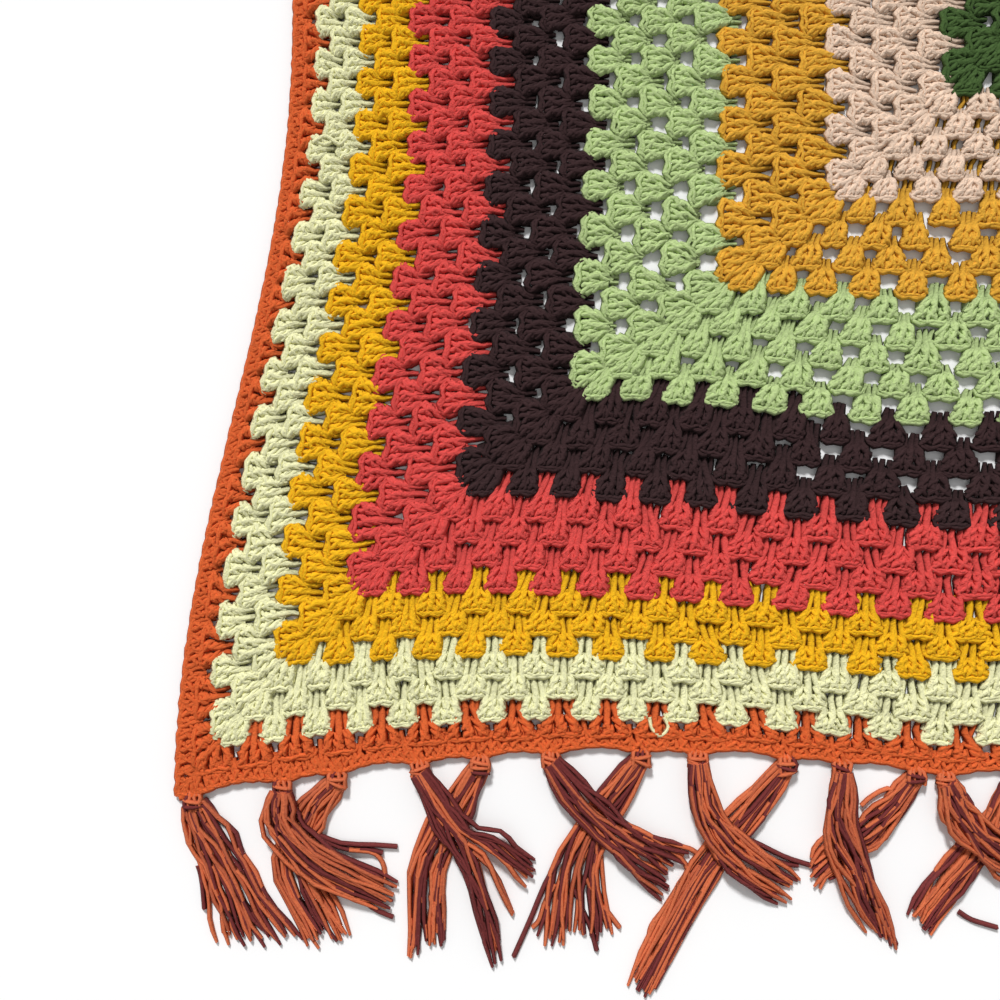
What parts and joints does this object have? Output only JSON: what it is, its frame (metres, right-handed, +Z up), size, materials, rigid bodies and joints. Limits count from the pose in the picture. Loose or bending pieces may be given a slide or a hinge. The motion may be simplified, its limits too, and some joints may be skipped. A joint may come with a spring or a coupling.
{
  "type": "granny square blanket",
  "caption": "A crocheted throw worked as one large granny square in concentric colour bands, with a knotted tassel fringe at two ends",
  "frame": {"origin": "the middle of the granny square's first round, on the floor that the throw lies on", "axes": "+Z up through the cloth; +Y from the foot with its fringe to the top with its fringe; +X to the right seen from above with the foot nearest"},
  "size_m": [0.834, 0.9616, 0.0108],
  "materials": {
    "dark_green_yarn": "dark green acrylic yarn, soft and slightly fuzzy",
    "pink_yarn": "shell pink acrylic yarn, soft and slightly fuzzy",
    "mustard_yarn": "mustard acrylic yarn, soft and slightly fuzzy",
    "light_green_yarn": "light green acrylic yarn, soft and slightly fuzzy",
    "brown_yarn": "dark brown acrylic yarn, soft and slightly fuzzy",
    "coral_yarn": "coral red acrylic yarn, soft and slightly fuzzy",
    "yellow_yarn": "yellow acrylic yarn, soft and slightly fuzzy",
    "cream_yarn": "pale cream-green acrylic yarn, soft and slightly fuzzy",
    "orange_yarn": "burnt orange acrylic yarn, soft and slightly fuzzy",
    "fringe_yarn": "burnt orange and maroon yarn, knotted in mixed strands"
  },
  "bodies": {
    "root": {"granny_square": "orange_yarn", "tassel_foot_01": "fringe_yarn", "tassel_foot_02": "fringe_yarn", "tassel_foot_03": "fringe_yarn", "tassel_foot_04": "fringe_yarn", "tassel_foot_05": "fringe_yarn", "tassel_foot_06": "fringe_yarn", "tassel_foot_07": "fringe_yarn", "tassel_foot_08": "fringe_yarn", "tassel_foot_09": "fringe_yarn", "tassel_foot_10": "fringe_yarn", "tassel_foot_11": "fringe_yarn", "tassel_foot_12": "fringe_yarn", "tassel_foot_13": "fringe_yarn", "tassel_foot_14": "fringe_yarn", "tassel_foot_15": "fringe_yarn", "tassel_foot_16": "fringe_yarn", "tassel_foot_17": "fringe_yarn", "tassel_foot_18": "fringe_yarn", "tassel_foot_19": "fringe_yarn", "tassel_foot_20": "fringe_yarn", "tassel_foot_21": "fringe_yarn", "tassel_foot_22": "fringe_yarn", "tassel_foot_23": "fringe_yarn", "tassel_foot_24": "fringe_yarn", "tassel_top_01": "fringe_yarn", "tassel_top_02": "fringe_yarn", "tassel_top_03": "fringe_yarn", "tassel_top_04": "fringe_yarn", "tassel_top_05": "fringe_yarn", "tassel_top_06": "fringe_yarn", "tassel_top_07": "fringe_yarn", "tassel_top_08": "fringe_yarn", "tassel_top_09": "fringe_yarn", "tassel_top_10": "fringe_yarn", "tassel_top_11": "fringe_yarn", "tassel_top_12": "fringe_yarn", "tassel_top_13": "fringe_yarn", "tassel_top_14": "fringe_yarn", "tassel_top_15": "fringe_yarn", "tassel_top_16": "fringe_yarn", "tassel_top_17": "fringe_yarn", "tassel_top_18": "fringe_yarn", "tassel_top_19": "fringe_yarn", "tassel_top_20": "fringe_yarn", "tassel_top_21": "fringe_yarn", "tassel_top_22": "fringe_yarn", "tassel_top_23": "fringe_yarn", "tassel_top_24": "fringe_yarn"}
  },
  "joints": []
}
